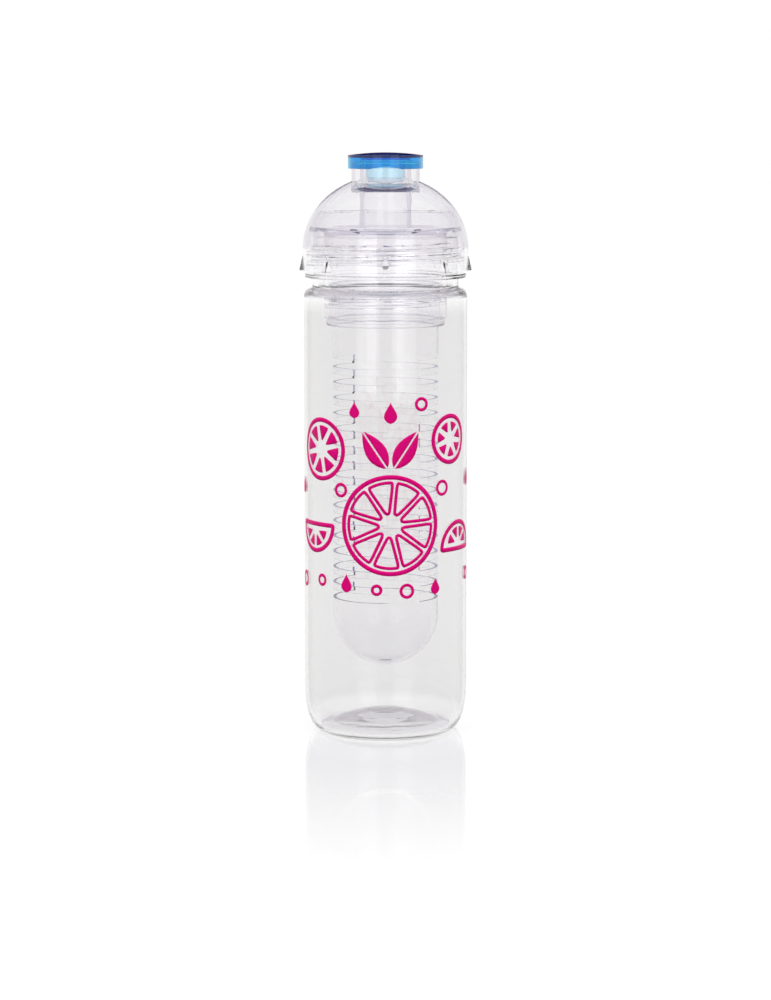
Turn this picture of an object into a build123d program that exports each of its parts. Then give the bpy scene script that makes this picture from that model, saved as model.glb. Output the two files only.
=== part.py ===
from build123d import *

import os
from math import acos, asin, cos, degrees, floor, radians, sqrt

# Fruit infuser water bottle.
# A clear bottle closed by a domed lid. The lid is two mouldings: the outer dome, and a core that
# screws on the neck, carries the spout tube and holds the slotted infuser. A blue plug shuts the
# spout. Millimetres, +Z up, the origin under the middle of the foot, the front facing -Y.

# Bottle body
body_radius = 32.6
body_wall = 1.3
body_height = 173.7
corner_height = 18.0
foot_inset = 6.6
foot_width = 1.2
base_wall = 1.5
push_up_inset = 4.5
push_up_edge_height = 1.6
push_up_height = 6.2
push_up_step = 0.4
step_ring_radius = 12.5
centre_disc_radius = 7.0

# Neck
neck_inset = 3.5
shoulder_rise = 4.0
shoulder_fillet = 0.8
collar_rise = 3.9
carry_ring_reach = 3.0
carry_ring_thickness = 1.6
carry_ring_fillet = 0.45
finish_inset = 0.4
finish_wall = 1.7
finish_height = 14.6
rim_fillet = 0.4

# Neck thread
neck_pitch = 4.0
neck_ridge_reach = 1.2
neck_ridge_root = 2.0
neck_ridge_crest = 1.0
neck_thread_lift = 4.2
neck_thread_turns = 1.85
neck_thread_start_angle = 20.0
lid_thread_turns = 1.7
lid_thread_start_angle = 90.0
neck_thread_clearance = 0.5
neck_tip_clearance = 0.4
ridge_sink = 0.3

# Lid
lid_gap = 1.15
shell_gap = 0.1
core_wall = 1.1
core_web = 1.6
core_disc_radius = 20.7
core_disc_rise = 0.7
core_rim_rise = 6.7
dome_wall = 1.3
dome_skirt = 8.75
dome_flattening = 3.9
fin_count = 8
fin_height = 5.65
fin_reach = 1.5
fin_foot_width = 6.4
fin_foot_crest = 2.0
fin_tip_width = 1.8
fin_tip_crest = 0.8
fin_tip_reach = 0.15
fin_sink = 0.6

# Spout
tube_bore_radius = 8.65
tube_wall = 1.55
tube_stand = 0.9
tube_mouth_fillet = 0.8
tube_lip_fillet = 0.3
trough_width = 2.1
collar_wall = 1.3
collar_stand = 4.9
collar_depth = 11.8
collar_lip_fillet = 0.45
cone_rise = 3.7
cone_thickness = 1.6

# Plug
cap_clearance = 0.3
cap_wall = 1.05
cap_edge = 0.8
cap_crown = 1.1
cap_drop = 4.6
cap_fillet = 0.3
seat_height = 1.2
seat_inset = 0.3
stem_clearance = 0.75
stem_wall = 1.15
stem_length = 11.0
notch_width = 12.0
notch_height = 1.0

# Plug seal
groove_lift = 1.4
groove_height = 2.8
groove_depth = 0.5
seal_play = 0.1
seal_lip_height = 1.0
seal_valley = 0.4
seal_lip_fillet = 0.3

# Gasket between the neck's rim and the core
neck_gasket_thickness = 1.8
neck_gasket_play = 0.3
neck_gasket_overhang = 0.5

# Infuser holder, the long inner skirt of the core
holder_gap = 2.5
holder_wall = 1.5
holder_length = 34.3
holder_chamfer = 0.5
holder_root_fillet = 2.2

# Infuser
infuser_wall = 1.3
infuser_neck_step = 0.7
infuser_neck_length = 14.2
infuser_pitch = 3.0
infuser_ridge_reach = 0.9
infuser_ridge_root = 1.5
infuser_ridge_crest = 0.8
infuser_thread_clearance = 0.3
infuser_tip_clearance = 0.3
infuser_thread_lift = 5.0
infuser_thread_turns = 1.6
infuser_thread_start_angle = 20.0
holder_thread_turns = 1.3
holder_thread_start_angle = 90.0
infuser_gasket_thickness = 1.1
infuser_gasket_play = 0.3
infuser_gasket_inset = 0.1
flange_thickness = 1.6
flange_reach = 2.5
flange_fillet = 0.5
infuser_rim_fillet = 0.3
infuser_floor_gap = 18.0
nub_radius = 2.5
nub_height = 0.7

# Slots, in two columns parted by two plain ribs
slot_height = 3.5
slot_pitch = 6.18
slot_top_margin = 14.7
slot_bottom_margin = 8.0
slot_columns = 2
rib_angle = 28.0
rib_turn = 21.0
cut_overrun = 2.0

full_turn = 360.0
quarter_turn = 90.0

os.makedirs("parts", exist_ok=True)

# Radii worked out from the bottle inwards and outwards
foot_radius = body_radius - foot_inset
push_up_radius = foot_radius - push_up_inset
neck_radius = body_radius - neck_inset
finish_radius = neck_radius - finish_inset
bore_radius = finish_radius - finish_wall
neck_ridge_radius = finish_radius + neck_ridge_reach
core_inner_radius = neck_ridge_radius + neck_thread_clearance
core_radius = core_inner_radius + core_wall
dome_inner_radius = core_radius + shell_gap
dome_radius = dome_inner_radius + dome_wall
holder_radius = bore_radius - holder_gap
holder_inner_radius = holder_radius - holder_wall
infuser_ridge_radius = holder_inner_radius - infuser_thread_clearance
infuser_neck_radius = infuser_ridge_radius - infuser_ridge_reach
infuser_radius = infuser_neck_radius - infuser_neck_step
infuser_bore_radius = infuser_radius - infuser_wall
flange_radius = infuser_radius + flange_reach
tube_radius = tube_bore_radius + tube_wall
collar_inner_radius = tube_radius + trough_width
collar_radius = collar_inner_radius + collar_wall
cap_inner_radius = collar_radius + cap_clearance
cap_radius = cap_inner_radius + cap_wall
stem_radius = tube_bore_radius - stem_clearance
stem_bore_radius = stem_radius - stem_wall
groove_radius = stem_radius - groove_depth
seal_radius = tube_bore_radius - seal_play

# Heights, stacked from the table up
dome_rise = dome_radius - dome_flattening
neck_base_height = body_height + shoulder_rise
carry_ring_height = neck_base_height + collar_rise
carry_ring_top = carry_ring_height + carry_ring_thickness
rim_height = carry_ring_top + finish_height
web_height = rim_height + neck_gasket_thickness
web_top = web_height + core_web
core_rim_top = web_top + core_rim_rise
lid_base = carry_ring_top + lid_gap
dome_base = lid_base + dome_skirt
collar_top = dome_base + dome_rise + collar_stand
collar_base = collar_top - collar_depth
tube_top = collar_top + tube_stand
plate_height = tube_top + seat_height
cap_edge_top = plate_height + cap_edge
cap_top = cap_edge_top + cap_crown
cap_base = plate_height - cap_drop
stem_base = tube_top - stem_length
holder_base = web_height - holder_length
flange_top = holder_base - infuser_gasket_thickness
flange_base = flange_top - flange_thickness
infuser_top = holder_base + infuser_neck_length
infuser_base = push_up_height + base_wall + infuser_floor_gap
infuser_ball_height = infuser_base + infuser_radius

# The domed walls of the lid are pieces of ellipses about the top of its skirt
dome_inner_rise = dome_rise - dome_wall
core_outer_rise = dome_inner_rise - shell_gap
core_inner_rise = core_outer_rise - core_wall
web_base_angle = degrees(asin((web_height - dome_base) / core_inner_rise))
web_base_radius = core_inner_radius * cos(radians(web_base_angle))


def arc_height(radius, side, rise):
    # Height of a quarter ellipse above its centre, at a radius
    return rise * sqrt(1 - (radius / side) ** 2)


def arc_angle(radius, side):
    # Parameter of the same ellipse at that radius
    return degrees(acos(radius / side))


def dome_arc(start, end):
    # An arc centred on the axis, so that it turns into a piece of a sphere
    centre = (start[0] ** 2 + start[1] ** 2 - end[0] ** 2 - end[1] ** 2) / (start[1] - end[1]) / 2
    reach = sqrt(start[0] ** 2 + (start[1] - centre) ** 2)
    middle = (start[0] + end[0]) / 2
    ThreePointArc(start, (middle, centre + sqrt(reach**2 - middle**2)), end)


def corner(profile, point):
    # The corner of a sketch that lies at a point
    return profile.vertices().sort_by_distance(point)[0]


def thread_ridge(base_radius, reach, root, crest, pitch, start_height, turns, start_angle):
    # A helical ridge of trapezium section, sunk in its wall. A negative reach points it inwards
    sink = ridge_sink if reach < 0 else -ridge_sink
    sunk_root = root + (root - crest) * ridge_sink / abs(reach)
    with BuildPart() as ridge:
        with BuildLine(Plane.XY.offset(start_height)) as path:
            Helix(pitch=pitch, height=pitch * turns, radius=base_radius)
        with BuildSketch(Plane.XZ):
            with BuildLine():
                Polyline(
                    (base_radius + sink, start_height - sunk_root / 2),
                    (base_radius + reach, start_height - crest / 2),
                    (base_radius + reach, start_height + crest / 2),
                    (base_radius + sink, start_height + sunk_root / 2),
                    close=True,
                )
            make_face()
        sweep(path=path.line, is_frenet=True)
    return ridge.part.rotate(Axis.Z, start_angle)


# Bottle body: foot, wall, shoulder, carry ring and threaded neck in one moulding
foot_inner_radius = foot_radius - foot_width / 2
foot_outer_radius = foot_radius + foot_width / 2
body_inner_radius = body_radius - body_wall
carry_ring_radius = neck_radius + carry_ring_reach
disc_edge_height = push_up_height - push_up_step
crown_sag_share = (step_ring_radius / push_up_radius) ** 2
crown_sag = (disc_edge_height - push_up_edge_height) * crown_sag_share
step_ring_height = disc_edge_height - crown_sag
neck_thread_height = carry_ring_top + neck_thread_lift
neck_thread = thread_ridge(
    finish_radius,
    neck_ridge_reach,
    neck_ridge_root,
    neck_ridge_crest,
    neck_pitch,
    neck_thread_height,
    neck_thread_turns,
    neck_thread_start_angle,
)

with BuildPart() as bottle_body:
    with BuildSketch(Plane.XZ) as section:
        with BuildLine():
            Polyline(
                (0, push_up_height),
                (centre_disc_radius, push_up_height),
                (centre_disc_radius, disc_edge_height),
            )
            dome_arc((centre_disc_radius, disc_edge_height), (step_ring_radius, step_ring_height))
            Line(
                (step_ring_radius, step_ring_height),
                (step_ring_radius, step_ring_height - push_up_step),
            )
            dome_arc(
                (step_ring_radius, step_ring_height - push_up_step),
                (push_up_radius, push_up_edge_height),
            )
            Polyline(
                (push_up_radius, push_up_edge_height),
                (foot_inner_radius, 0),
                (foot_outer_radius, 0),
            )
            EllipticalCenterArc(
                (foot_outer_radius, corner_height),
                body_radius - foot_outer_radius,
                corner_height,
                start_angle=-quarter_turn,
                arc_size=quarter_turn,
            )
            Line((body_radius, corner_height), (body_radius, body_height))
            EllipticalCenterArc(
                (neck_radius, body_height),
                body_radius - neck_radius,
                shoulder_rise,
                arc_size=quarter_turn,
            )
            Polyline(
                (neck_radius, neck_base_height),
                (neck_radius, carry_ring_height),
                (carry_ring_radius, carry_ring_height),
                (carry_ring_radius, carry_ring_top),
                (finish_radius, carry_ring_top),
                (finish_radius, rim_height),
                (bore_radius, rim_height),
                (bore_radius, neck_base_height - body_wall),
            )
            EllipticalCenterArc(
                (bore_radius, body_height),
                body_inner_radius - bore_radius,
                shoulder_rise - body_wall,
                arc_size=quarter_turn,
            )
            Line((body_inner_radius, body_height), (body_inner_radius, corner_height))
            EllipticalCenterArc(
                (foot_radius, corner_height),
                body_inner_radius - foot_radius,
                corner_height - base_wall,
                start_angle=-quarter_turn,
                arc_size=quarter_turn,
            )
            Line((foot_radius, base_wall), (push_up_radius, push_up_edge_height + base_wall))
            dome_arc(
                (push_up_radius, push_up_edge_height + base_wall), (0, push_up_height + base_wall)
            )
            Line((0, push_up_height + base_wall), (0, push_up_height))
        make_face()
        fillet(corner(section, (neck_radius, neck_base_height)), shoulder_fillet)
        fillet(corner(section, (bore_radius, neck_base_height - body_wall)), shoulder_fillet)
        for ring_level in (carry_ring_height, carry_ring_top):
            fillet(corner(section, (carry_ring_radius, ring_level)), carry_ring_fillet)
        for rim_radius in (finish_radius, bore_radius):
            fillet(corner(section, (rim_radius, rim_height)), rim_fillet)
    revolve(axis=Axis.Z)
    add(neck_thread)
bottle_body.part.label = "bottle_body"
export_step(bottle_body.part, "parts/bottle_body.step")

# Neck gasket: a flat silicone ring between the rim and the underside of the core
with BuildPart() as neck_gasket:
    with BuildSketch(Plane.XY.offset(rim_height)):
        Circle(web_base_radius - neck_gasket_play)
        Circle(bore_radius - neck_gasket_overhang, mode=Mode.SUBTRACT)
    extrude(amount=neck_gasket_thickness)
neck_gasket.part.label = "neck_gasket"
export_step(neck_gasket.part, "parts/neck_gasket.step")

# Lid dome: outer shell with grip fins, and the mouthpiece collar with its inner cone
cone_lower_height = collar_base + cone_rise
cone_inner_radius = tube_radius + shell_gap
cone_slope_share = cone_rise / (collar_radius - cone_inner_radius)

with BuildPart() as grip_fin:
    with BuildSketch(Plane.XY.offset(lid_base)):
        with BuildLine():
            Polyline(
                (dome_radius - fin_sink, -fin_foot_width / 2),
                (dome_radius + fin_reach, -fin_foot_crest / 2),
                (dome_radius + fin_reach, fin_foot_crest / 2),
                (dome_radius - fin_sink, fin_foot_width / 2),
                close=True,
            )
        make_face()
    with BuildSketch(Plane.XY.offset(lid_base + fin_height)):
        with BuildLine():
            Polyline(
                (dome_radius - fin_sink, -fin_tip_width / 2),
                (dome_radius + fin_tip_reach, -fin_tip_crest / 2),
                (dome_radius + fin_tip_reach, fin_tip_crest / 2),
                (dome_radius - fin_sink, fin_tip_width / 2),
                close=True,
            )
        make_face()
    loft()

with BuildPart() as lid_dome:
    with BuildSketch(Plane.XZ) as section:
        with BuildLine():
            Line((dome_radius, lid_base), (dome_radius, dome_base))
            EllipticalCenterArc(
                (0, dome_base),
                dome_radius,
                dome_rise,
                arc_size=arc_angle(collar_radius, dome_radius),
            )
            Polyline(
                (collar_radius, dome_base + arc_height(collar_radius, dome_radius, dome_rise)),
                (collar_radius, collar_top),
                (collar_inner_radius, collar_top),
                (
                    collar_inner_radius,
                    collar_base + cone_thickness + collar_wall * cone_slope_share,
                ),
                (cone_inner_radius, cone_lower_height + cone_thickness),
                (cone_inner_radius, cone_lower_height),
                (collar_radius, collar_base),
                (
                    collar_radius,
                    dome_base + arc_height(collar_radius, dome_inner_radius, dome_inner_rise),
                ),
            )
            EllipticalCenterArc(
                (0, dome_base),
                dome_inner_radius,
                dome_inner_rise,
                arc_size=arc_angle(collar_radius, dome_inner_radius),
            )
            Polyline(
                (dome_inner_radius, dome_base), (dome_inner_radius, lid_base), (dome_radius, lid_base)
            )
        make_face()
        for lip_radius in (collar_inner_radius, collar_radius):
            fillet(corner(section, (lip_radius, collar_top)), collar_lip_fillet)
    revolve(axis=Axis.Z)
    with PolarLocations(0, fin_count):
        add(grip_fin.part)
lid_dome.part.label = "lid_dome"
export_step(lid_dome.part, "parts/lid_dome.step")

# Lid core: screw skirt, web, spout tube, rim under the dome and the holder of the infuser
core_rim_level = core_rim_top - dome_base
core_rim_outer_angle = degrees(asin(core_rim_level / core_outer_rise))
core_rim_inner_angle = degrees(asin(core_rim_level / core_inner_rise))
web_edge_angle = degrees(asin((web_top - dome_base) / core_inner_rise))
web_edge_radius = core_inner_radius * cos(radians(web_edge_angle))
core_rim_inner_radius = core_inner_radius * cos(radians(core_rim_inner_angle))
core_rim_outer_radius = core_radius * cos(radians(core_rim_outer_angle))
core_base = lid_base + shell_gap
lid_thread_lag = lid_thread_start_angle - neck_thread_start_angle

lid_thread = thread_ridge(
    core_inner_radius,
    finish_radius + neck_tip_clearance - core_inner_radius,
    neck_ridge_root,
    neck_ridge_crest,
    neck_pitch,
    neck_thread_height + neck_pitch * (lid_thread_lag / full_turn - 1 / 2),
    lid_thread_turns,
    lid_thread_start_angle,
)

infuser_thread_height = holder_base + infuser_thread_lift
holder_thread_lag = holder_thread_start_angle - infuser_thread_start_angle
holder_thread = thread_ridge(
    holder_inner_radius,
    infuser_neck_radius + infuser_tip_clearance - holder_inner_radius,
    infuser_ridge_root,
    infuser_ridge_crest,
    infuser_pitch,
    infuser_thread_height + infuser_pitch * (holder_thread_lag / full_turn - 1 / 2),
    holder_thread_turns,
    holder_thread_start_angle,
)

with BuildPart() as lid_core:
    with BuildSketch(Plane.XZ) as section:
        with BuildLine():
            Polyline(
                (holder_inner_radius, web_height),
                (tube_bore_radius, web_height),
                (tube_bore_radius, tube_top),
                (tube_radius, tube_top),
                (tube_radius, web_top + core_disc_rise),
                (core_disc_radius, web_top + core_disc_rise),
                (core_disc_radius, web_top),
                (web_edge_radius, web_top),
            )
            EllipticalCenterArc(
                (0, dome_base),
                core_inner_radius,
                core_inner_rise,
                start_angle=web_edge_angle,
                arc_size=core_rim_inner_angle - web_edge_angle,
            )
            Line((core_rim_inner_radius, core_rim_top), (core_rim_outer_radius, core_rim_top))
            EllipticalCenterArc(
                (0, dome_base), core_radius, core_outer_rise, arc_size=core_rim_outer_angle
            )
            Polyline(
                (core_radius, dome_base),
                (core_radius, core_base),
                (core_inner_radius, core_base),
                (core_inner_radius, dome_base),
            )
            EllipticalCenterArc(
                (0, dome_base), core_inner_radius, core_inner_rise, arc_size=web_base_angle
            )
            Polyline(
                (web_base_radius, web_height),
                (holder_radius, web_height),
                (holder_radius, holder_base),
                (holder_inner_radius, holder_base),
                (holder_inner_radius, web_height),
            )
        make_face()
        chamfer(corner(section, (holder_radius, holder_base)), holder_chamfer)
        fillet(corner(section, (holder_inner_radius, web_height)), holder_root_fillet)
        fillet(corner(section, (tube_bore_radius, web_height)), tube_mouth_fillet)
        for lip_radius in (tube_bore_radius, tube_radius):
            fillet(corner(section, (lip_radius, tube_top)), tube_lip_fillet)
    revolve(axis=Axis.Z)
    add(lid_thread)
    add(holder_thread)
lid_core.part.label = "lid_core"
export_step(lid_core.part, "parts/lid_core.step")

# Infuser gasket: a thin silicone ring between the infuser's flange and the holder's end
with BuildPart() as infuser_gasket:
    with BuildSketch(Plane.XY.offset(flange_top)):
        Circle(flange_radius - infuser_gasket_inset)
        Circle(infuser_neck_radius + infuser_gasket_play, mode=Mode.SUBTRACT)
    extrude(amount=infuser_gasket_thickness)
infuser_gasket.part.label = "infuser_gasket"
export_step(infuser_gasket.part, "parts/infuser_gasket.step")

# Infuser basket: threaded neck, flange, tube with two columns of slots, and a round bottom
column_angle = full_turn / slot_columns - rib_angle
slot_end_angle = degrees(slot_height / 2 / infuser_radius)
rib_middle_angle = rib_turn - quarter_turn
slot_start_angle = rib_middle_angle + rib_angle / 2 + slot_end_angle
first_slot_height = flange_base - slot_top_margin
slot_run = first_slot_height - infuser_ball_height - slot_bottom_margin
slot_rows = floor(slot_run / slot_pitch) + 1
first_band_base = first_slot_height - slot_pitch / 2
slotted_wall_top = first_band_base + slot_pitch
slotted_wall_base = slotted_wall_top - slot_rows * slot_pitch
cutter_inner_radius = infuser_bore_radius - cut_overrun
cutter_outer_radius = infuser_radius + cut_overrun
cutter_middle_radius = (cutter_inner_radius + cutter_outer_radius) / 2

with BuildPart() as slot_cutter:
    with BuildSketch(Plane.XZ):
        with Locations((cutter_middle_radius, first_slot_height)):
            Rectangle(cutter_outer_radius - cutter_inner_radius, slot_height)
    revolve(axis=Axis.Z, revolution_arc=column_angle - 2 * slot_end_angle)
    for end_angle in (0, column_angle - 2 * slot_end_angle):
        end_plane = Plane.YZ.rotated((0, 0, end_angle)).move(Location((0, 0, first_slot_height)))
        with BuildSketch(end_plane):
            Circle(slot_height / 2)
        extrude(amount=cutter_outer_radius)

# One row of slots in a ring of wall. The rows are joined as they are, so each keeps its own faces
with BuildPart() as slot_band:
    with BuildSketch(Plane.XY.offset(first_band_base).rotated((0, 0, rib_middle_angle))):
        Circle(infuser_radius)
        Circle(infuser_bore_radius, mode=Mode.SUBTRACT)
    extrude(amount=slot_pitch)
    with PolarLocations(0, slot_columns, start_angle=slot_start_angle):
        add(slot_cutter.part, mode=Mode.SUBTRACT)

infuser_thread = thread_ridge(
    infuser_neck_radius,
    infuser_ridge_reach,
    infuser_ridge_root,
    infuser_ridge_crest,
    infuser_pitch,
    infuser_thread_height,
    infuser_thread_turns,
    infuser_thread_start_angle,
)
infuser_floor = infuser_ball_height - infuser_bore_radius
nub_foot = infuser_ball_height - sqrt(infuser_bore_radius**2 - nub_radius**2)
nub_angle = degrees(acos(nub_radius / infuser_bore_radius))

with BuildPart() as infuser_basket:
    with BuildSketch(Plane.XZ) as section:
        with BuildLine():
            Polyline(
                (infuser_radius, slotted_wall_top),
                (infuser_radius, flange_base),
                (flange_radius, flange_base),
                (flange_radius, flange_top),
                (infuser_neck_radius, flange_top),
                (infuser_neck_radius, infuser_top),
                (infuser_bore_radius, infuser_top),
                (infuser_bore_radius, slotted_wall_top),
                close=True,
            )
        make_face()
        fillet(corner(section, (flange_radius, flange_base)), flange_fillet)
        for rim_radius in (infuser_neck_radius, infuser_bore_radius):
            fillet(corner(section, (rim_radius, infuser_top)), infuser_rim_fillet)
    revolve(axis=Axis.Z)
    add(infuser_thread)
    with Locations(*[(0, 0, -row * slot_pitch) for row in range(slot_rows)]):
        add(slot_band.part, clean=False)
    with BuildSketch(Plane.XZ):
        with BuildLine():
            CenterArc((0, infuser_ball_height), infuser_radius, -quarter_turn, quarter_turn)
            Polyline(
                (infuser_radius, infuser_ball_height),
                (infuser_radius, slotted_wall_base),
                (infuser_bore_radius, slotted_wall_base),
                (infuser_bore_radius, infuser_ball_height),
            )
            CenterArc((0, infuser_ball_height), infuser_bore_radius, 0, -nub_angle)
            Polyline(
                (nub_radius, nub_foot),
                (nub_radius, infuser_floor + nub_height),
                (0, infuser_floor + nub_height),
                (0, infuser_base),
            )
        make_face()
    revolve(axis=Axis.Z, clean=False)
infuser_basket.part.label = "infuser_basket"
export_step(infuser_basket.part, "parts/infuser_basket.step")

# Spout plug: a domed cap that goes over the collar, and a hollow stem that fills the tube
seat_radius = tube_radius - seat_inset
groove_base = stem_base + groove_lift
groove_top = groove_base + groove_height

with BuildPart() as spout_plug:
    with BuildSketch(Plane.XZ) as section:
        with BuildLine():
            dome_arc((0, cap_top), (cap_radius, cap_edge_top))
            Polyline(
                (cap_radius, cap_edge_top),
                (cap_radius, cap_base),
                (cap_inner_radius, cap_base),
                (cap_inner_radius, plate_height),
                (seat_radius, plate_height),
                (seat_radius, tube_top),
                (stem_radius, tube_top),
                (stem_radius, groove_top),
                (groove_radius, groove_top),
                (groove_radius, groove_base),
                (stem_radius, groove_base),
                (stem_radius, stem_base),
                (stem_bore_radius, stem_base),
                (stem_bore_radius, plate_height),
                (0, plate_height),
                (0, cap_top),
            )
        make_face()
        fillet(corner(section, (cap_radius, cap_edge_top)), cap_fillet)
        fillet(corner(section, (cap_radius, cap_base)), cap_fillet)
        fillet(corner(section, (stem_radius, stem_base)), cap_fillet)
    revolve(axis=Axis.Z)
    with BuildSketch(Plane.XZ.offset(tube_radius)):
        with BuildLine():
            ThreePointArc(
                (-notch_width / 2, cap_base), (0, cap_base + notch_height), (notch_width / 2, cap_base)
            )
            Line((notch_width / 2, cap_base), (-notch_width / 2, cap_base))
        make_face()
    extrude(amount=cap_radius, mode=Mode.SUBTRACT)
spout_plug.part.label = "spout_plug"
export_step(spout_plug.part, "parts/spout_plug.step")

# Plug seal: a silicone band with two lips, in the groove near the end of the stem
seal_base = groove_base + seal_play
seal_top = groove_top - seal_play
valley_radius = seal_radius - seal_valley

with BuildPart() as plug_seal:
    with BuildSketch(Plane.XZ) as section:
        with BuildLine():
            Polyline(
                (groove_radius, seal_base),
                (seal_radius, seal_base),
                (seal_radius, seal_base + seal_lip_height),
                (valley_radius, seal_base + seal_lip_height),
                (valley_radius, seal_top - seal_lip_height),
                (seal_radius, seal_top - seal_lip_height),
                (seal_radius, seal_top),
                (groove_radius, seal_top),
                close=True,
            )
        make_face()
        lip_levels = (
            seal_base,
            seal_base + seal_lip_height,
            seal_top - seal_lip_height,
            seal_top,
        )
        for lip_level in lip_levels:
            fillet(corner(section, (seal_radius, lip_level)), seal_lip_fillet)
    revolve(axis=Axis.Z)
plug_seal.part.label = "plug_seal"
export_step(plug_seal.part, "parts/plug_seal.step")
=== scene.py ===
from math import asin, cos, degrees, pi, radians, sin, sqrt

import bmesh
import bpy
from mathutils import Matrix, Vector


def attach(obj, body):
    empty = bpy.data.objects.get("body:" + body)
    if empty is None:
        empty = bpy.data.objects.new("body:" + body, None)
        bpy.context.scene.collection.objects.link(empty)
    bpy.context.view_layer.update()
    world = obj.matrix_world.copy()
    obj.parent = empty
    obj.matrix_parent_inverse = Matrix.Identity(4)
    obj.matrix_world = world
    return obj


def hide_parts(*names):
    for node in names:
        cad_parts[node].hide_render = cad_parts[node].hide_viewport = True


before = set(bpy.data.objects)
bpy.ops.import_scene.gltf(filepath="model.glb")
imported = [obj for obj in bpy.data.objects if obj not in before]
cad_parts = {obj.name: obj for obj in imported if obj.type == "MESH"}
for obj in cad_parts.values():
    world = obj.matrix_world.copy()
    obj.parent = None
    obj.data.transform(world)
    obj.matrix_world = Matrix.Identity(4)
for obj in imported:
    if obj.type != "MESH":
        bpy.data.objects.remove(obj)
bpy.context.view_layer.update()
scene = bpy.context.scene
print("frame loaded,", len(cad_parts), "nodes")

mm = 0.001


def linkObject(name, data):
    thing = bpy.data.objects.new(name, data)
    scene.collection.objects.link(thing)
    return thing


def treeCalls(tree):
    # short calls for adding and joining nodes
    def add(kind, **settings):
        node = tree.nodes.new(kind)
        for key, value in settings.items():
            setattr(node, key, value)
        return node

    def join(source, target):
        # the source is a socket, or a number or colour to set
        if isinstance(source, bpy.types.NodeSocket):
            tree.links.new(source, target)
        else:
            target.default_value = source

    return add, join


def newTree(tree):
    tree.nodes.clear()
    return treeCalls(tree)


def newMaterial(name):
    mat = bpy.data.materials.new(name)
    mat.use_nodes = True
    return mat, *newTree(mat.node_tree)


def mathOf(add, join, operation, first, second):
    node = add("ShaderNodeMath", operation=operation)
    join(first, node.inputs[0])
    join(second, node.inputs[1])
    return node.outputs[0]


def within(add, join, value, low, high):
    # 1 between the two limits, 0 outside them
    over = mathOf(add, join, "GREATER_THAN", value, low)
    under = mathOf(add, join, "LESS_THAN", value, high)
    return mathOf(add, join, "MULTIPLY", over, under)


def ramp(add, join, value, fromEnds, toEnds=(0, 1), **settings):
    node = add("ShaderNodeMapRange", **settings)
    for end, name in zip((*fromEnds, *toEnds), ("From Min", "From Max", "To Min", "To Max")):
        join(end, node.inputs[name])
    join(value, node.inputs["Value"])
    return node.outputs["Result"]


def blendTint(add, join, share, first, second, **settings):
    tint = add("ShaderNodeMix", data_type="RGBA", **settings)
    join(first, tint.inputs[6])
    join(second, tint.inputs[7])
    join(share, tint.inputs[0])
    return tint.outputs[2]


def noiseOf(add, join, place, scale, detail):
    noise = add("ShaderNodeTexNoise")
    join(scale, noise.inputs["Scale"])
    join(detail, noise.inputs["Detail"])
    join(place.outputs["Object"], noise.inputs["Vector"])
    return noise.outputs["Fac"]


def bumpOf(add, join, height, strength, distance):
    bump = add("ShaderNodeBump")
    join(strength, bump.inputs["Strength"])
    join(distance, bump.inputs["Distance"])
    join(height, bump.inputs["Height"])
    return bump.outputs["Normal"]


# the photographer's stand: a long lens a little above the lid, tipped down
cameraSettings = {
    "distance": 1.252,
    "height": 0.2448,
    "tipDown": 6.948,
    "lens": 113.15,
    "sensor": 36,
}


def placeCamera(s):
    lensData = bpy.data.cameras.new("productCamera")
    lensData.lens = s["lens"]
    lensData.sensor_width = s["sensor"]
    cam = linkObject("productCamera", lensData)
    cam.location = (0, -s["distance"], s["height"])
    cam.rotation_euler = (radians(90 - s["tipDown"]), 0, 0)
    scene.camera = cam


placeCamera(cameraSettings)
print("camera placed")


# white sweep: seen as plain white, and softer as a light. Clear pieces also find the dim ceiling
sweepSettings = {
    "white": (1, 1, 1, 1),
    "skyLight": 1.15,
    "ceiling": (0.78, 0.76, 0.82, 1),
    "ceilingBent": (0.08, 0.5),
    "ceilingMirrored": (0.26, 0.6),
    "flags": (0.78, 0.76, 0.81, 1),
    "floorSize": 9.0,
    "floorDrop": 0.03 * mm,  # a hair under the foot, so that the two faces don't mix
    "floorWhite": (0.16, 0.16, 0.16, 1),
    "floorGlow": 0.84,
    "mirrorReach": (0.03, 0.33),
    "mirrorStrength": 0.74,
    "mirrorPower": 2.2,
    "mirrorRoughness": 0.03,
}


def seenRays(add, join):
    # 1 for rays that look at the background, straight, mirrored or through clear plastic
    rays = add("ShaderNodeLightPath").outputs
    plain = mathOf(add, join, "MAXIMUM", rays["Is Camera Ray"], rays["Is Glossy Ray"])
    return mathOf(add, join, "MAXIMUM", plain, rays["Is Transmission Ray"])


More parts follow.
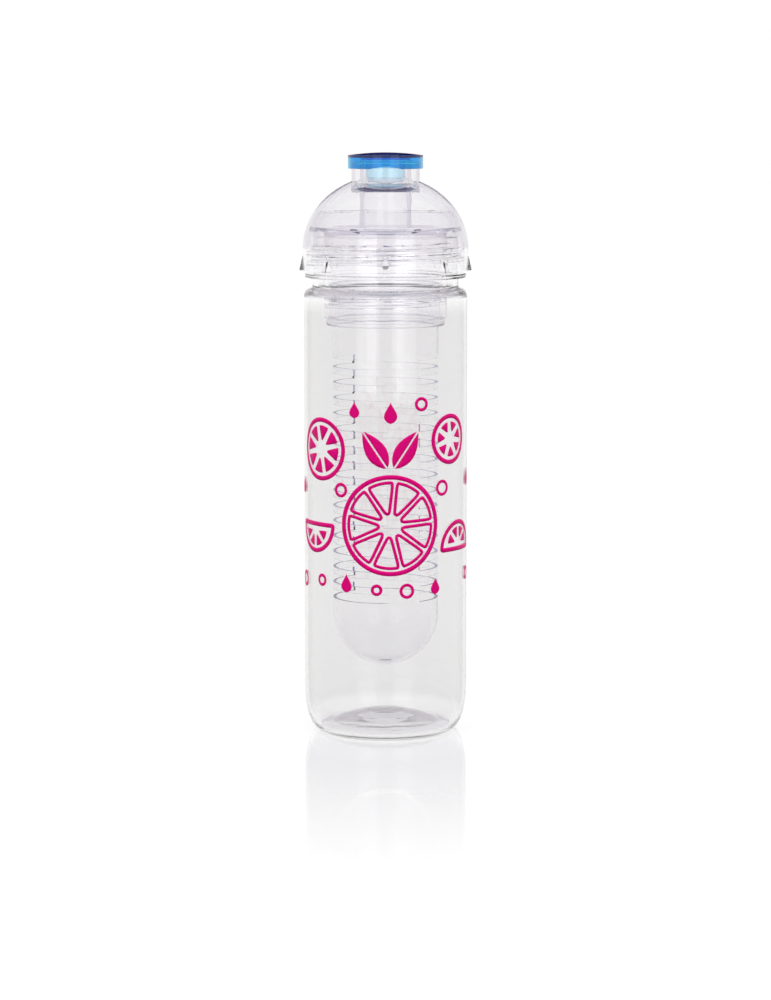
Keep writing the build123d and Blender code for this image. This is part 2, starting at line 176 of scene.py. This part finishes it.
def whiteWorld(s):
    world = bpy.data.worlds.new("whiteStudio")
    world.use_nodes = True
    scene.world = world
    add, join = newTree(world.node_tree)
    level = ramp(add, join, seenRays(add, join), (0, 1), (s["skyLight"], 1))
    # the ceiling darkens with height, for rays that a clear piece bends or mirrors upwards
    place = add("ShaderNodeTexCoord")
    parts = add("ShaderNodeSeparateXYZ")
    join(place.outputs["Generated"], parts.inputs[0])
    rays = add("ShaderNodeLightPath").outputs
    shares = []
    for ray, ends in (
        ("Is Transmission Ray", s["ceilingBent"]),
        ("Is Glossy Ray", s["ceilingMirrored"]),
    ):
        rise = ramp(add, join, parts.outputs["Z"], ends, interpolation_type="SMOOTHSTEP")
        shares.append(mathOf(add, join, "MULTIPLY", rise, rays[ray]))
    ceiling = mathOf(add, join, "MAXIMUM", *shares)
    tone = blendTint(add, join, ceiling, s["white"], s["ceiling"])
    # rays that the edge of a clear wall throws sideways find the grey flags beside the set
    thrown = mathOf(add, join, "GREATER_THAN", rays["Glossy Depth"], 0.5)
    flagged = mathOf(add, join, "MULTIPLY", thrown, rays["Is Transmission Ray"])
    tone = blendTint(add, join, flagged, tone, s["flags"], blend_type="MULTIPLY")
    back = add("ShaderNodeBackground")
    join(tone, back.inputs["Color"])
    join(level, back.inputs["Strength"])
    out = add("ShaderNodeOutputWorld")
    join(back.outputs[0], out.inputs["Surface"])


def glossyTable(s):
    mesh = bpy.data.meshes.new("table")
    half = s["floorSize"] / 2
    level = -s["floorDrop"]
    corners = [(x * half, y * half, level) for x, y in ((-1, -1), (1, -1), (1, 1), (-1, 1))]
    mesh.from_pydata(corners, [], [(0, 1, 2, 3)])
    table = linkObject("table", mesh)
    mat, add, join = newMaterial("glossyTable")
    white = add("ShaderNodeBsdfDiffuse")
    join(s["floorWhite"], white.inputs["Color"])
    glow = add("ShaderNodeEmission")
    glowLevel = mathOf(add, join, "MULTIPLY", seenRays(add, join), s["floorGlow"])
    join(glowLevel, glow.inputs["Strength"])
    lit = add("ShaderNodeAddShader")
    join(white.outputs[0], lit.inputs[0])
    join(glow.outputs[0], lit.inputs[1])
    mirror = add("ShaderNodeBsdfAnisotropic", distribution="MULTI_GGX")
    join(s["white"], mirror.inputs["Color"])
    join(s["mirrorRoughness"], mirror.inputs["Roughness"])
    # the gloss fades away from the bottle, and is weaker seen from above
    place = add("ShaderNodeTexCoord")
    reach = add("ShaderNodeVectorMath", operation="LENGTH")
    join(place.outputs["Object"], reach.inputs[0])
    smooth = {"interpolation_type": "SMOOTHSTEP"}
    distance = reach.outputs["Value"]
    fade = ramp(add, join, distance, s["mirrorReach"], (s["mirrorStrength"], 0), **smooth)
    facing = add("ShaderNodeLayerWeight")
    grazing = mathOf(add, join, "POWER", facing.outputs["Facing"], s["mirrorPower"])
    mix = add("ShaderNodeMixShader")
    join(mathOf(add, join, "MULTIPLY", fade, grazing), mix.inputs["Fac"])
    join(lit.outputs[0], mix.inputs[1])
    join(mirror.outputs[0], mix.inputs[2])
    out = add("ShaderNodeOutputMaterial")
    join(mix.outputs[0], out.inputs["Surface"])
    mesh.materials.append(mat)


# tall soft boxes either side of the camera, and one overhead
lampSettings = {
    "aim": (0, 0, 0.11),
    "boxAngles": {"leftBox": -27, "rightBox": 29},
    "box": {"distance": 1.5, "height": 0.45, "size": (0.75, 1.3), "watts": 2.1},
    "top": {"height": 1.6, "back": 0.2, "size": (1.2, 1.2), "watts": 5},
}


def aimLamp(name, place, aim, size, watts):
    data = bpy.data.lights.new(name, "AREA")
    data.shape = "RECTANGLE"
    data.size, data.size_y = size
    data.energy = watts
    lamp = linkObject(name, data)
    lamp.location = place
    direction = Vector(aim) - Vector(place)
    lamp.rotation_euler = direction.to_track_quat("-Z", "Y").to_euler()
    lamp.visible_camera = False
    return lamp


def hangLamps(s):
    box = s["box"]
    for name, angle in s["boxAngles"].items():
        turn = radians(angle)
        place = (box["distance"] * sin(turn), -box["distance"] * cos(turn), box["height"])
        aimLamp(name, place, (0, 0, box["height"]), box["size"], box["watts"])
    top = s["top"]
    lamp = aimLamp("topBox", (0, top["back"], top["height"]), s["aim"], top["size"], top["watts"])
    lamp.visible_glossy = False
    lamp.visible_transmission = False


# a dark board hung well behind the set, seen only by mirrored rays. It darkens the cap's crown
boardSettings = {
    "radius": 550 * mm,
    "bottom": 282 * mm,
    "top": 405 * mm,
    "halfTurn": 19,
    "sides": 24,
    "tone": (0.020, 0.008, 0.075, 1),
    "bandTone": (0.085, 0.05, 0.17, 1),
    "bands": (26 * mm, 90 * mm),
}


def darkBoard(s):
    mesh = bpy.data.meshes.new("darkBoard")
    n = s["sides"]
    turns = [radians(90 - s["halfTurn"] + 2 * s["halfTurn"] * i / n) for i in range(n + 1)]
    points = [
        (s["radius"] * cos(turn), s["radius"] * sin(turn), height)
        for height in (s["bottom"], s["top"])
        for turn in turns
    ]
    mesh.from_pydata(points, [], [(i, i + 1, n + i + 2, n + i + 1) for i in range(n)])
    board = linkObject("darkBoard", mesh)
    mat, add, join = newMaterial("darkBoard")
    place = add("ShaderNodeTexCoord")
    parts = add("ShaderNodeSeparateXYZ")
    join(place.outputs["Object"], parts.inputs[0])
    side = add("ShaderNodeMath", operation="ABSOLUTE")
    join(parts.outputs["X"], side.inputs[0])
    onBand = within(add, join, side.outputs[0], *s["bands"])
    cloth = add("ShaderNodeBsdfDiffuse")
    join(blendTint(add, join, onBand, s["tone"], s["bandTone"]), cloth.inputs["Color"])
    out = add("ShaderNodeOutputMaterial")
    join(cloth.outputs[0], out.inputs["Surface"])
    mesh.materials.append(mat)
    for kind in ("camera", "diffuse", "transmission", "volume_scatter", "shadow"):
        setattr(board, "visible_" + kind, False)


whiteWorld(sweepSettings)
glossyTable(sweepSettings)
hangLamps(lampSettings)
darkBoard(boardSettings)
print("studio set")


# clear mouldings: the tint of each skin, how much the inside swallows and how dense it is,
# how rough the skin is between and on its marks, and the scale and strength of its waves
plasticSettings = {
    "bottleClear": {
        "ior": 1.50,
        "tint": (0.878, 0.873, 0.874, 1),
        "swallow": (0.905, 0.90, 0.89, 1),
        "density": 60,
        "roughness": (0.0, 0.02),
        "wave": (26.0, 0.05),
    },
    "lidClear": {
        "ior": 1.50,
        "tint": (0.982, 0.979, 0.982, 1),
        "swallow": (0.915, 0.91, 0.91, 1),
        "density": 90,
        "roughness": (0.0, 0.02),
        "wave": (30.0, 0.04),
    },
    "coreClear": {
        "ior": 1.40,
        "tint": (0.990, 0.987, 0.994, 1),
        "swallow": (0.905, 0.895, 0.93, 1),
        "density": 30,
        "roughness": (0.0, 0.04),
        "wave": (30.0, 0.05),
    },
    "infuserClear": {
        "ior": 1.50,
        "tint": (0.996, 0.994, 0.998, 1),
        "swallow": (0.90, 0.895, 0.93, 1),
        "density": 70,
        "roughness": (0.0, 0.03),
        "wave": (30.0, 0.05),
    },
    "sealSilicone": {
        "ior": 1.33,
        "tint": (0.99, 0.99, 0.992, 1),
        "swallow": (0.85, 0.86, 0.88, 1),
        "density": 20,
        "roughness": (0.05, 0.12),
        "wave": (60.0, 0.05),
    },
}
markSettings = {
    "scale": 90,
    "detail": 3,
    "ends": (0.55, 0.8),
    "waveDetail": 1,
    "waveDepth": 0.4 * mm,
}


def clearPlastic(name, s):
    mat, add, join = newMaterial(name)
    skin = add("ShaderNodeBsdfPrincipled")
    join(s["tint"], skin.inputs["Base Color"])
    join(1, skin.inputs["Transmission Weight"])
    join(s["ior"], skin.inputs["IOR"])
    place = add("ShaderNodeTexCoord")
    # handling marks: the finest roughness comes and goes over the skin
    marks = noiseOf(add, join, place, markSettings["scale"], markSettings["detail"])
    join(ramp(add, join, marks, markSettings["ends"], s["roughness"]), skin.inputs["Roughness"])
    # slow waves left by the mould
    waveScale, waveStrength = s["wave"]
    waves = noiseOf(add, join, place, waveScale, markSettings["waveDetail"])
    join(bumpOf(add, join, waves, waveStrength, markSettings["waveDepth"]), skin.inputs["Normal"])
    inside = add("ShaderNodeVolumeAbsorption")
    join(s["swallow"], inside.inputs["Color"])
    join(s["density"], inside.inputs["Density"])
    out = add("ShaderNodeOutputMaterial")
    join(skin.outputs[0], out.inputs["Surface"])
    join(inside.outputs[0], out.inputs["Volume"])
    return mat


def skinPlace(mat):
    # a finish's skin and tint, and how far the point on it is from the axis and above the table
    add, join = treeCalls(mat.node_tree)
    skin = next(n for n in mat.node_tree.nodes if n.type == "BSDF_PRINCIPLED")
    place = next(n for n in mat.node_tree.nodes if n.type == "TEX_COORD")
    parts = add("ShaderNodeSeparateXYZ")
    join(place.outputs["Object"], parts.inputs[0])
    flat = add("ShaderNodeCombineXYZ")
    join(parts.outputs["X"], flat.inputs["X"])
    join(parts.outputs["Y"], flat.inputs["Y"])
    radius = add("ShaderNodeVectorMath", operation="LENGTH")
    join(flat.outputs[0], radius.inputs[0])
    tint = skin.inputs["Base Color"]
    return add, join, tint, tuple(tint.default_value), radius.outputs["Value"], parts.outputs["Z"]


# the wall's tint is painted grey towards its outline, by how the wall faces the eye: painted shade.
# The neck and the pushed-up base are seen through more walls, and their tint is painted clearer:
# painted light
wallSettings = {
    "outline": (0.60, 0.59, 0.58, 1),
    "turnedAway": (0.57, 0.97),
    "ends": (0.992, 0.990, 0.991, 1),
    "neck": (167.0 * mm, 174.0 * mm),
    "base": (9.5 * mm, 5.5 * mm),
}


def wallPaintedShadeAndLight(s, mat):
    add, join, tint, plain, _, height = skinPlace(mat)
    # painted shade: the tint greys where the wall turns away from the eye
    facing = add("ShaderNodeLayerWeight")
    outlineShadeShare = ramp(add, join, facing.outputs["Facing"], s["turnedAway"])
    wall = blendTint(add, join, outlineShadeShare, plain, s["outline"])
    # painted light: the tint is painted clearer at the neck and the pushed-up base
    neck, base = (ramp(add, join, height, s[end]) for end in ("neck", "base"))
    endsPaintedLight = mathOf(add, join, "MAXIMUM", neck, base)
    join(blendTint(add, join, endsPaintedLight, wall, s["ends"]), tint)


# the cut edges of the slots are painted navy: a painted reflection of the plug, and painted shade
# that makes them read as thin dark lines
slotReflectionSettings = {
    "tint": (0.22, 0.22, 0.42, 1),
    "radii": (19.93 * mm, 20.97 * mm),
    "heights": (50.5 * mm, 152.0 * mm),
}


def slotEdgesPaintedReflection(s, mat):
    add, join, tint, plain, radius, height = skinPlace(mat)
    inWall = within(add, join, radius, *s["radii"])
    besideSlots = within(add, join, height, *s["heights"])
    edgePaintedReflection = mathOf(add, join, "MULTIPLY", inWall, besideSlots)
    # painted reflection and painted shade: the slot edges' tint is blended towards navy
    join(blendTint(add, join, edgePaintedReflection, plain, s["tint"]), tint)


# the plug's dye is its plain blue tint, which shows deep in the cap's skirt. Its crown is painted
# almost purple-black, painted shade, and its thin stem is painted pale, painted light
plugSettings = {
    "plastic": {
        "ior": 1.50,
        "tint": (0.03, 0.56, 0.88, 1),
        "swallow": (0.40, 0.85, 0.96, 1),
        "density": 100,
        "roughness": (0.0, 0.03),
        "wave": (40.0, 0.03),
    },
    "stem": (0.80, 0.94, 0.99, 1),
    "crown": (0.085, 0.03, 0.13, 1),
    "stemRadii": (-1, 9.3 * mm),
    "stemHeights": (-1, 228.0 * mm),
    "crownHeights": (228.9 * mm, 1),
}


def plugPlastic(s):
    mat = clearPlastic("plugBlue", s["plastic"])
    add, join, tint, plain, radius, height = skinPlace(mat)
    inStem = within(add, join, radius, *s["stemRadii"])
    underPlate = within(add, join, height, *s["stemHeights"])
    stemPaintedLight = mathOf(add, join, "MULTIPLY", inStem, underPlate)
    # painted light: the thin stem's tint is painted pale
    lower = blendTint(add, join, stemPaintedLight, plain, s["stem"])
    # painted shade: the crown's tint is painted almost purple-black
    crownPaintedShade = within(add, join, height, *s["crownHeights"])
    join(blendTint(add, join, crownPaintedShade, lower, s["crown"]), tint)
    return mat


plastics = {name: clearPlastic(name, s) for name, s in plasticSettings.items()}
plastics["plugBlue"] = plugPlastic(plugSettings)
wallPaintedShadeAndLight(wallSettings, plastics["bottleClear"])
slotEdgesPaintedReflection(slotReflectionSettings, plastics["infuserClear"])
nodeFinish = {
    "bottle_body": "bottleClear",
    "lid_dome": "lidClear",
    "lid_core": "coreClear",
    "infuser_basket": "infuserClear",
    "spout_plug": "plugBlue",
    "plug_seal": "sealSilicone",
    "neck_gasket": "sealSilicone",
    "infuser_gasket": "sealSilicone",
}
for nodeName, finish in nodeFinish.items():
    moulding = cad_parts[nodeName]
    moulding.data.materials.clear()
    moulding.data.materials.append(plastics[finish])
print("mouldings finished")

# the silicone rings touch hard plastic in the frame. Here they stand a hair clear of it all round
sealSettings = {
    "ease": 0.03 * mm,
    "bodies": {"neck_gasket": "neck_seal", "infuser_gasket": "holder_seal", "plug_seal": "plug"},
}


def squeezed(value, low, high, ease):
    return low + ease + (value - low) * (high - low - 2 * ease) / (high - low)


def easedSeal(nodeName, body, ease):
    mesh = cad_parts[nodeName].data.copy()
    mesh.name = nodeName + "Ring"
    radii = [sqrt(v.co.x ** 2 + v.co.y ** 2) for v in mesh.vertices]
    heights = [v.co.z for v in mesh.vertices]
    inner, outer, base, top = min(radii), max(radii), min(heights), max(heights)
    for v, radius in zip(mesh.vertices, radii):
        share = squeezed(radius, inner, outer, ease) / radius
        v.co = (v.co.x * share, v.co.y * share, squeezed(v.co.z, base, top, ease))
    ring = linkObject(mesh.name, mesh)
    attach(ring, body)
    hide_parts(nodeName)


for nodeName, body in sealSettings["bodies"].items():
    easedSeal(nodeName, body, sealSettings["ease"])

# so does the seat of the plug on the end of the spout tube
seatSettings = {"level": 227.9 * mm, "slack": 0.004 * mm, "lift": 0.03 * mm}


def easedPlug(s):
    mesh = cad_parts["spout_plug"].data.copy()
    mesh.name = "plugOnSeat"
    lifted = 0
    for v in mesh.vertices:
        if abs(v.co.z - s["level"]) < s["slack"]:
            v.co.z += s["lift"]
            lifted += 1
    plug = linkObject(mesh.name, mesh)
    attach(plug, "plug")
    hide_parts("spout_plug")
    print("seat points lifted:", lifted)


easedPlug(seatSettings)
print("seals and plug seated")

# fruit print on the front of the wall, drawn flat as (round the wall, up) in millimetres
printSettings = {
    "wallRadius": 32.6,
    "lift": 0.025,
    "thickness": 0.03,
    "span": 52,  # half the width that is cut into strips
    "cutEvery": 1.0,
    "cutShift": 0.013,  # keeps the cuts off the drawn points
    "rimLine": 1.8,
    "fineLine": 1.25,
    "gap": 1.7,
    "wheelInset": 0.75,  # these four are shares of the gap
    "halfInset": 1.5,
    "halfRise": 0.45,
    "halfGap": 0.8,
    "ribGap": 0.32,
    "ribEdge": 0.34,
    "wheels": (  # across, up, radius, segments, turn in degrees, filled
        (2.0, 86.0, 20.0, 9, 4, False),
        (-29.0, 115.0, 12.5, 8, 12, True),
        (29.0, 119.0, 10.0, 7, -8, True),
    ),
    "halves": (  # across, up, radius, segments, turn in degrees
        (35.0, 75.0, 11.5, 4, 0),
        (-33.0, 85.0, 11.5, 4, 180),
    ),
    "leaves": (  # stalk across, up, length, width, lean in degrees
        (0.6, 108.6, 17.0, 7.6, 34),
        (3.4, 108.6, 17.0, 7.6, -34),
    ),
    "drops": (  # across, up, length, width
        (2.0, 126.0, 8.5, 5.2),
        (-12.5, 128.0, 6.5, 4.2),
        (-45.5, 96.0, 7.0, 4.4),
        (45.5, 99.0, 7.5, 4.6),
        (-16.0, 59.0, 7.5, 4.6),
        (21.0, 58.0, 6.5, 4.2),
    ),
    "bubbles": (  # across, up, radius
        (-18.5, 99.5, 2.3),
        (24.5, 100.0, 2.6),
        (-43.0, 62.0, 2.6),
        (-28.5, 63.0, 1.9),
        (8.5, 60.0, 2.4),
        (44.5, 64.0, 2.2),
        (-3.5, 60.5, 1.7),
        (14.5, 133.5, 2.2),
    ),
}
inkSettings = {
    "colours": ((0.80, 0.0, 0.215, 1), (0.76, 0.002, 0.196, 1)),
    "roughness": (0.34, 0.46),
    "specular": 0.06,
    "grain": 900,
    "grainDetail": 4,
    "bump": (0.15, 0.03 * mm),  # strength and depth
    "wallSide": (-1, 32.64 * mm),
    "through": 0.4,
}


def flatPoint(across, up):
    return Vector((across, 0, up))


def onCircle(middle, radius, angle):
    return middle + radius * flatPoint(cos(radians(angle)), sin(radians(angle)))


def softCorners(points, passes):
    # each pass trims the corners of a closed line
    for _ in range(passes):
        trimmed = []
        for here, after in zip(points, points[1:] + points[:1]):
            trimmed += [here.lerp(after, 0.25), here.lerp(after, 0.75)]
        points = trimmed
    return points


def inkLine(bm, points, width):
    # a closed line of ink of even width
    rails = []
    n = len(points)
    for i, point in enumerate(points):
        along = (points[(i + 1) % n] - points[i - 1]).normalized()
        side = flatPoint(-along.z, along.x) * width / 2
        rails.append((bm.verts.new(point + side), bm.verts.new(point - side)))
    for i, (left, right) in enumerate(rails):
        nextLeft, nextRight = rails[(i + 1) % n]
        bm.faces.new((left, right, nextRight, nextLeft))


def inkPatch(bm, points):
    # a filled shape, fanned from its middle
    middle = bm.verts.new(sum(points, Vector()) / len(points))
    ring = [bm.verts.new(point) for point in points]
    for i, corner in enumerate(ring):
        bm.faces.new((middle, corner, ring[(i + 1) % len(ring)]))


def inkStrip(bm, left, right):
    # a filled shape between two edges, with the same number of points each
    rails = [(bm.verts.new(a), bm.verts.new(b)) for a, b in zip(left, right)]
    for (a, b), (nextA, nextB) in zip(rails, rails[1:]):
        bm.faces.new((a, b, nextB, nextA))


def segmentLine(middle, radius, start, end, gap):
    # outline of one segment of fruit, its point towards the middle
    half = radians(end - start) / 2
    bisector = (start + end) / 2
    apex = onCircle(middle, gap / 2 / sin(half) + gap * 0.35, bisector)
    spare = degrees(asin(gap / 2 / radius))
    steps = 8
    outer = [
        onCircle(middle, radius, start + spare + (end - start - 2 * spare) * i / steps)
        for i in range(steps + 1)
    ]
    return softCorners([apex.lerp(outer[-1], 0.5), apex, apex.lerp(outer[0], 0.5)] + outer, 2)


def fruitWheel(bm, s, across, up, radius, segments, turn, filled):
    middle = flatPoint(across, up)
    rim = radius - s["rimLine"] / 2
    inkLine(bm, [onCircle(middle, rim, 5 * i) for i in range(72)], s["rimLine"])
    reach = radius - s["rimLine"] - s["gap"] * s["wheelInset"]
    for i in range(segments):
        start = turn + 360 * i / segments
        line = segmentLine(middle, reach, start, start + 360 / segments, s["gap"])
        if filled:
            inkPatch(bm, line)
        else:
            inkLine(bm, line, s["fineLine"])


def fruitHalf(bm, s, across, up, radius, segments, turn):
    middle = flatPoint(across, up)
    rim = radius - s["rimLine"] / 2
    arc = [onCircle(middle, rim, turn + 5 * i) for i in range(37)]
    chord = [arc[-1].lerp(arc[0], i / 12) for i in range(1, 12)]
    inkLine(bm, softCorners(arc + chord, 1), s["rimLine"])
    rise = s["rimLine"] / 2 + s["gap"] * s["halfRise"]
    inner = middle + flatPoint(0, 1 if turn == 0 else -1) * rise
    reach = radius - s["rimLine"] - s["gap"] * s["halfInset"]
    gap = s["gap"] * s["halfGap"]
    for i in range(segments):
        start = turn + 180 * i / segments
        inkPatch(bm, segmentLine(inner, reach, start, start + 180 / segments, gap))


def fruitLeaf(bm, s, across, up, length, width, lean):
    # two halves either side of a bare midrib
    stalk = flatPoint(across, up)
    along = flatPoint(-sin(radians(lean)), cos(radians(lean)))
    side = flatPoint(along.z, -along.x)
    shares = [i / 16 for i in range(17)]
    for hand in (-1, 1):
        rib, edge = [], []
        for t in shares:
            bulge = s["ribEdge"] + width / 2 * sin(pi * t ** 0.85) ** 0.9
            rib.append(stalk + along * length * t + side * hand * s["ribGap"])
            edge.append(stalk + along * length * t + side * hand * bulge)
        inkStrip(bm, rib, edge)


def fruitDrop(bm, across, up, length, width):
    base = flatPoint(across, up)
    left, right = [], []
    for i in range(25):
        t = i / 24
        half = width / 2 * sin(pi * t ** 0.62) ** 1.25 + 0.02
        left.append(base + flatPoint(-half, length * t))
        right.append(base + flatPoint(half, length * t))
    inkStrip(bm, left, right)


def bendOntoWall(s, bm):
    # cut into narrow strips, so that the ink follows the round wall, then given its thickness
    steps = int(2 * s["span"] / s["cutEvery"])
    for i in range(steps + 1):
        bmesh.ops.bisect_plane(
            bm,
            geom=bm.verts[:] + bm.edges[:] + bm.faces[:],
            plane_co=(-s["span"] + i * s["cutEvery"] + s["cutShift"], 0, 0),
            plane_no=(1, 0, 0),
            dist=1e-5,
        )
    bm.verts.index_update()
    flat = [(v.co.x, v.co.z) for v in bm.verts]
    faces = [[v.index for v in f.verts] for f in bm.faces]
    rims = [(e.verts[0].index, e.verts[1].index) for e in bm.edges if e.is_boundary]
    bm.free()
    outside = s["wallRadius"] + s["lift"] + s["thickness"]
    points = []
    for radius in (outside, outside - s["thickness"]):
        for across, up in flat:
            turn = across / s["wallRadius"]
            points.append((radius * sin(turn) * mm, -radius * cos(turn) * mm, up * mm))
    n = len(flat)
    broad = [list(f) for f in faces] + [[i + n for i in reversed(f)] for f in faces]
    mesh = bpy.data.meshes.new("fruitPrint")
    mesh.from_pydata(points, [], broad + [[a, b, b + n, a + n] for a, b in rims])
    solid = bmesh.new()
    solid.from_mesh(mesh)
    bmesh.ops.recalc_face_normals(solid, faces=solid.faces[:])
    for i, face in enumerate(solid.faces):
        face.smooth = i < len(broad)
    solid.to_mesh(mesh)
    solid.free()
    return mesh


def inkFinish(s):
    mat, add, join = newMaterial("magentaInk")
    skin = add("ShaderNodeBsdfPrincipled")
    join(s["specular"], skin.inputs["Specular IOR Level"])
    # screen print lies a little unevenly
    place = add("ShaderNodeTexCoord")
    cover = noiseOf(add, join, place, s["grain"], s["grainDetail"])
    colour = blendTint(add, join, cover, *s["colours"])
    join(colour, skin.inputs["Base Color"])
    join(ramp(add, join, cover, (0, 1), s["roughness"]), skin.inputs["Roughness"])
    join(bumpOf(add, join, cover, *s["bump"]), skin.inputs["Normal"])
    # painted light: on the wall's side the print is given a glow, standing in for the light that
    # comes through it
    radius = skinPlace(mat)[4]
    inside = within(add, join, radius, *s["wallSide"])
    join(mathOf(add, join, "MULTIPLY", inside, s["through"]), skin.inputs["Emission Strength"])
    join(colour, skin.inputs["Emission Color"])
    out = add("ShaderNodeOutputMaterial")
    join(skin.outputs[0], out.inputs["Surface"])
    return mat


def printFruit(s, ink):
    bm = bmesh.new()
    for wheel in s["wheels"]:
        fruitWheel(bm, s, *wheel)
    for half in s["halves"]:
        fruitHalf(bm, s, *half)
    for leaf in s["leaves"]:
        fruitLeaf(bm, s, *leaf)
    for drop in s["drops"]:
        fruitDrop(bm, *drop)
    for across, up, radius in s["bubbles"]:
        middle = flatPoint(across, up)
        inkLine(bm, [onCircle(middle, radius, 10 * i) for i in range(36)], s["fineLine"])
    piece = linkObject("fruitPrint", bendOntoWall(s, bm))
    piece.data.materials.append(inkFinish(ink))
    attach(piece, "bottle")


printFruit(printSettings, inkSettings)
print("print laid on the wall")

# rays have to get through a stack of clear walls
rayLimits = {
    "max_bounces": 64,
    "transmission_bounces": 64,
    "glossy_bounces": 64,
    "diffuse_bounces": 4,
    "transparent_max_bounces": 24,
}
for limitName, limit in rayLimits.items():
    setattr(scene.cycles, limitName, limit)
scene.cycles.use_denoising = True
scene.view_settings.view_transform = "Standard"
